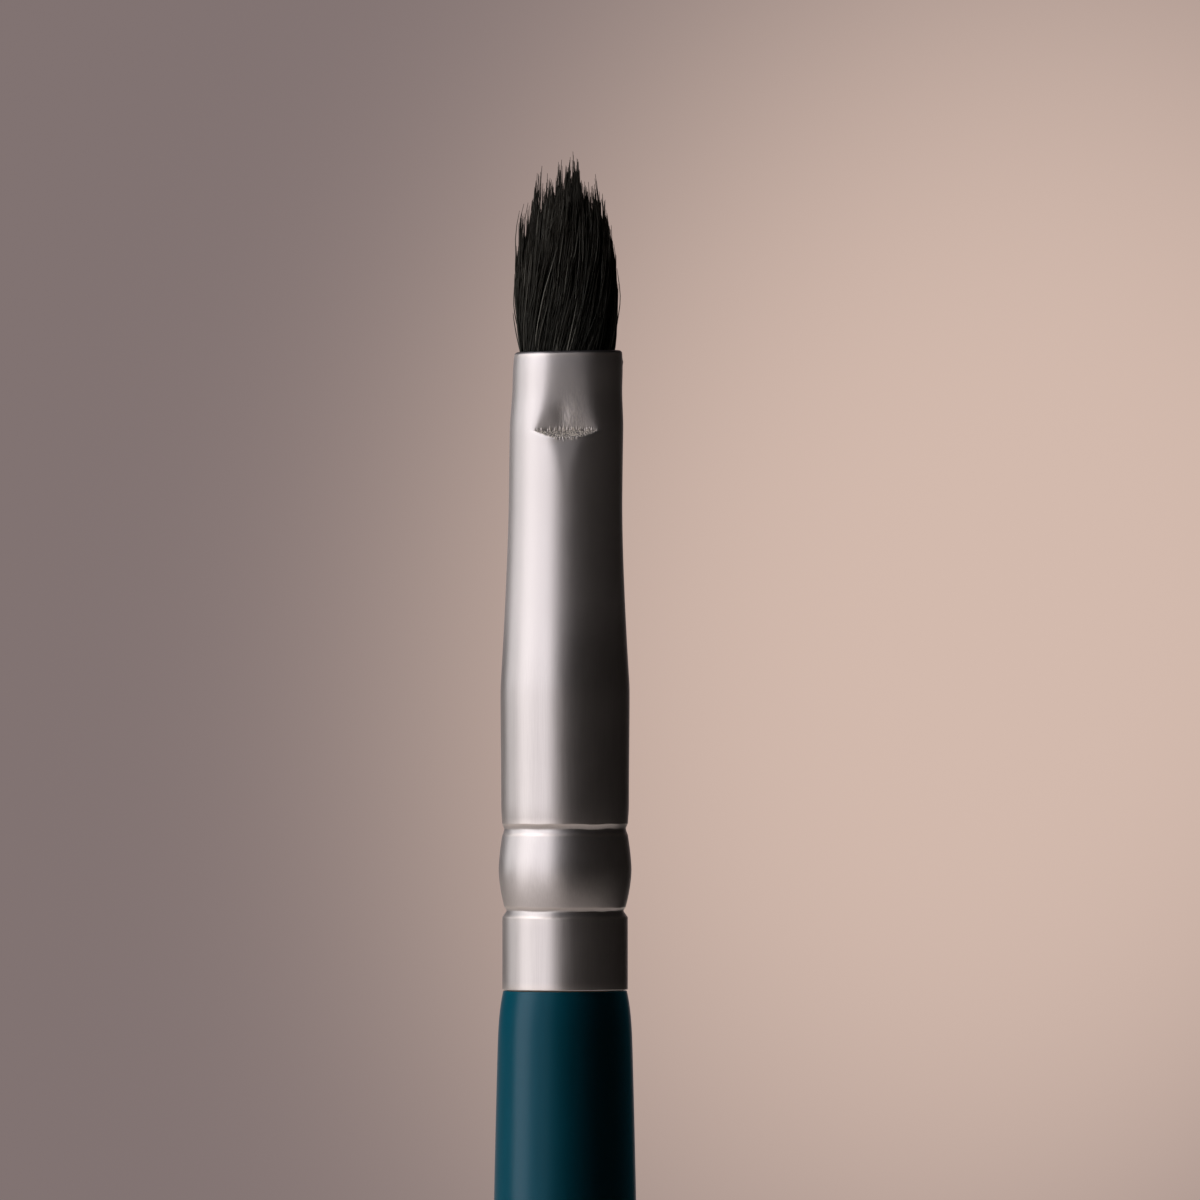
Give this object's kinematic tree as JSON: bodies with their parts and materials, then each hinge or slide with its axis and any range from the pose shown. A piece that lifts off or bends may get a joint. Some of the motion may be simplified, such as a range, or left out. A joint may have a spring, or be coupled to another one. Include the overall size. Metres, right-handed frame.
{
  "type": "makeup brush",
  "caption": "Slim eye brush: a round lacquered wooden handle, a metal ferrule with two rolled grooves, a bead and jaw marks, and a domed tuft of hair.",
  "frame": {"origin": "middle of the flat face at the butt end of the handle, where the brush stands in its holder", "axes": "+Z along the brush from the butt to the hair; the jaw marks pressed into the ferrule look along -Y and +Y; +X to the right of a user who looks at the mark on -Y with the hair up"},
  "size_m": [0.0076, 0.0076, 0.1704],
  "materials": {
    "turned_wood": "bare turned birch under the lacquer",
    "teal_lacquer": "dark teal lacquer, satin",
    "satin_metal": "fine satin with a lengthwise grain",
    "black_hair": "black natural hair with a dull sheen",
    "cotton_thread": "undyed cotton",
    "glue": "clear amber resin"
  },
  "bodies": {
    "root": {"handle_core": "turned_wood", "lacquer_coat": "teal_lacquer", "ferrule": "satin_metal", "tenon_glue": "glue", "glue_plug": "glue", "binding_thread": "cotton_thread", "hair_tuft": "black_hair"}
  },
  "joints": []
}
